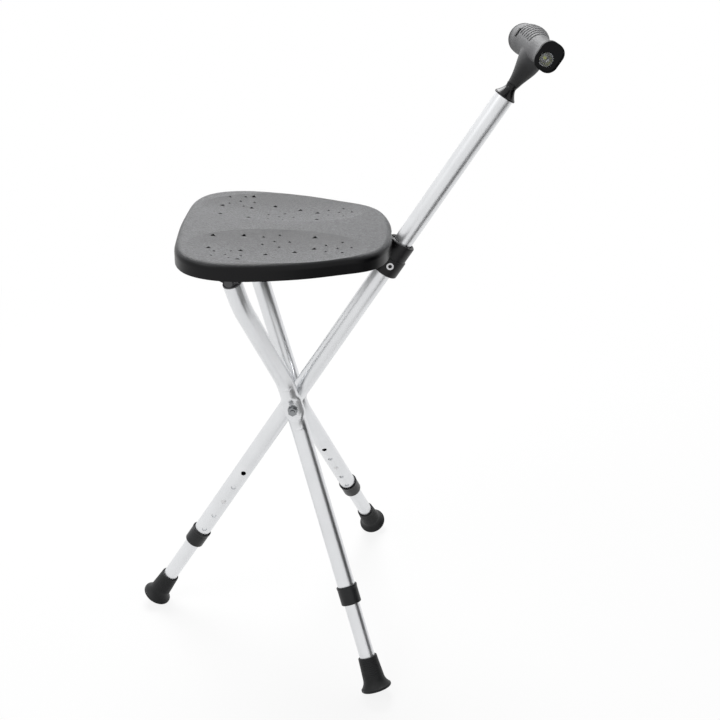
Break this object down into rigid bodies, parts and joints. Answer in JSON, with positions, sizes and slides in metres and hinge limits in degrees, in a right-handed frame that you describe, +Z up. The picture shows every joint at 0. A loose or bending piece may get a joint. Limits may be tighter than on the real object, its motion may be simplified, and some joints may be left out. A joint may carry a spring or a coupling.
{
  "type": "walking stick seat",
  "caption": "Folding cane with a perforated plastic seat on a sliding collar, two crossed side legs, height-adjustable rubber feet and a lamp in the T-shaped grip.",
  "frame": {"origin": "middle of the box round the open stool, on the floor", "axes": "+Z up; the stick leans toward +X; the grip and the pivot bolt lie along Y, the lamp looks to -Y"},
  "size_m": [0.4948, 0.3798, 0.7707],
  "materials": {
    "tube": "satin",
    "clip": "satin",
    "foot_rubber": "matte",
    "seat_plastic": "fine grain",
    "collar_plastic": "satin",
    "bell_gloss": "gloss",
    "grip_rubber": "soft matte",
    "switch_rubber": "matte",
    "inner_plastic": "matte",
    "lens_clear": "clear",
    "mirror_bright": "mirror",
    "lamp_plate": "matte",
    "cell_steel": "satin",
    "bright_steel": "polished",
    "steel_plate": "satin"
  },
  "bodies": {
    "stick": {"main_tube": "tube", "main_clip": "clip", "bell_ferrule": "bell_gloss", "grip_stem": "steel_plate", "grip_stem_nut": "steel_plate", "grip_body": "grip_rubber", "rear_cap": "grip_rubber", "lamp_bezel": "bell_gloss", "lamp_lens": "lens_clear", "torch_housing": "inner_plastic", "reflector": "mirror_bright", "led_module": "lamp_plate", "battery_cells": "cell_steel", "battery_spring": "steel_plate", "pivot_bolt": "bright_steel", "pivot_nut": "bright_steel", "pivot_washers": "bright_steel", "pivot_spacers": "inner_plastic"},
    "lamp_switch": {"lamp_switch": "switch_rubber"},
    "collar": {"collar": "collar_plastic", "collar_screws": "bright_steel"},
    "seat": {"seat_shell": "seat_plastic", "seat_hinge_bracket": "steel_plate", "front_leg_bracket": "steel_plate", "rear_leg_bracket": "steel_plate", "bracket_rivets": "bright_steel", "seat_screws": "bright_steel"},
    "front_leg": {"front_leg_tube": "tube", "front_clip": "clip", "front_leg_plug": "inner_plastic", "front_leg_pin": "bright_steel"},
    "rear_leg": {"rear_leg_tube": "tube", "rear_clip": "clip", "rear_leg_plug": "inner_plastic", "rear_leg_pin": "bright_steel"},
    "main_extension": {"main_inner_tube": "tube", "main_foot": "foot_rubber", "main_foot_disc": "steel_plate"},
    "main_button": {"main_button": "bright_steel", "main_button_spring": "steel_plate"},
    "front_extension": {"front_inner_tube": "tube", "front_foot": "foot_rubber", "front_foot_disc": "steel_plate"},
    "front_button": {"front_button": "bright_steel", "front_button_spring": "steel_plate"},
    "rear_extension": {"rear_inner_tube": "tube", "rear_foot": "foot_rubber", "rear_foot_disc": "steel_plate"},
    "rear_button": {"rear_button": "bright_steel", "rear_button_spring": "steel_plate"}
  },
  "joints": [
    {"name": "front_leg_fold", "type": "hinge", "parent": "stick", "child": "front_leg", "pos_m": [-0.03725, 0, 0.3222], "axis": [0, 1, 0], "range_deg": [0, 42]},
    {"name": "rear_leg_fold", "type": "hinge", "parent": "stick", "child": "rear_leg", "pos_m": [-0.03725, 0, 0.3222], "axis": [0, 1, 0], "range_deg": [0, 42]},
    {"name": "collar_slide", "type": "slide", "parent": "stick", "child": "collar", "axis": [0.5284, 0, 0.849], "range_m": [0, 0.16415]},
    {"name": "seat_fold", "type": "hinge", "parent": "collar", "child": "seat", "pos_m": [0.07742, 0, 0.50643], "axis": [0, 1, 0], "range_deg": [-53.86, 0]},
    {"name": "lamp_switch_press", "type": "slide", "parent": "stick", "child": "lamp_switch", "axis": [0.849, 0, -0.5284], "range_m": [0, 0.0008], "stiffness_N_per_m": 600},
    {"name": "main_extension_slide", "type": "slide", "parent": "stick", "child": "main_extension", "axis": [-0.5284, 0, -0.849], "range_m": [-0.052, 0.052], "deforming": ["main_button", "main_button_spring"]},
    {"name": "main_button_press", "type": "slide", "parent": "main_extension", "child": "main_button", "axis": [0, 1, 0], "range_m": [0, 0.0029], "stiffness_N_per_m": 900},
    {"name": "front_extension_slide", "type": "slide", "parent": "front_leg", "child": "front_extension", "axis": [0.2922, -0.447, -0.8454], "range_m": [-0.052, 0.052], "deforming": ["front_button", "front_button_spring"]},
    {"name": "front_button_press", "type": "slide", "parent": "front_extension", "child": "front_button", "axis": [-0.146, -0.8945, 0.4225], "range_m": [0, 0.0029], "stiffness_N_per_m": 900},
    {"name": "rear_extension_slide", "type": "slide", "parent": "rear_leg", "child": "rear_extension", "axis": [0.2922, 0.447, -0.8454], "range_m": [-0.052, 0.052], "deforming": ["rear_button", "rear_button_spring"]},
    {"name": "rear_button_press", "type": "slide", "parent": "rear_extension", "child": "rear_button", "axis": [-0.146, 0.8945, 0.4225], "range_m": [0, 0.0029], "stiffness_N_per_m": 900}
  ],
  "couplings": [
    {"joint": "rear_leg_fold", "follows": "front_leg_fold", "ratio": 1},
    {"joint": "collar_slide", "follows": "front_leg_fold", "m_per_rad": 0.22392},
    {"joint": "seat_fold", "follows": "front_leg_fold", "ratio": -1.2822}
  ]
}
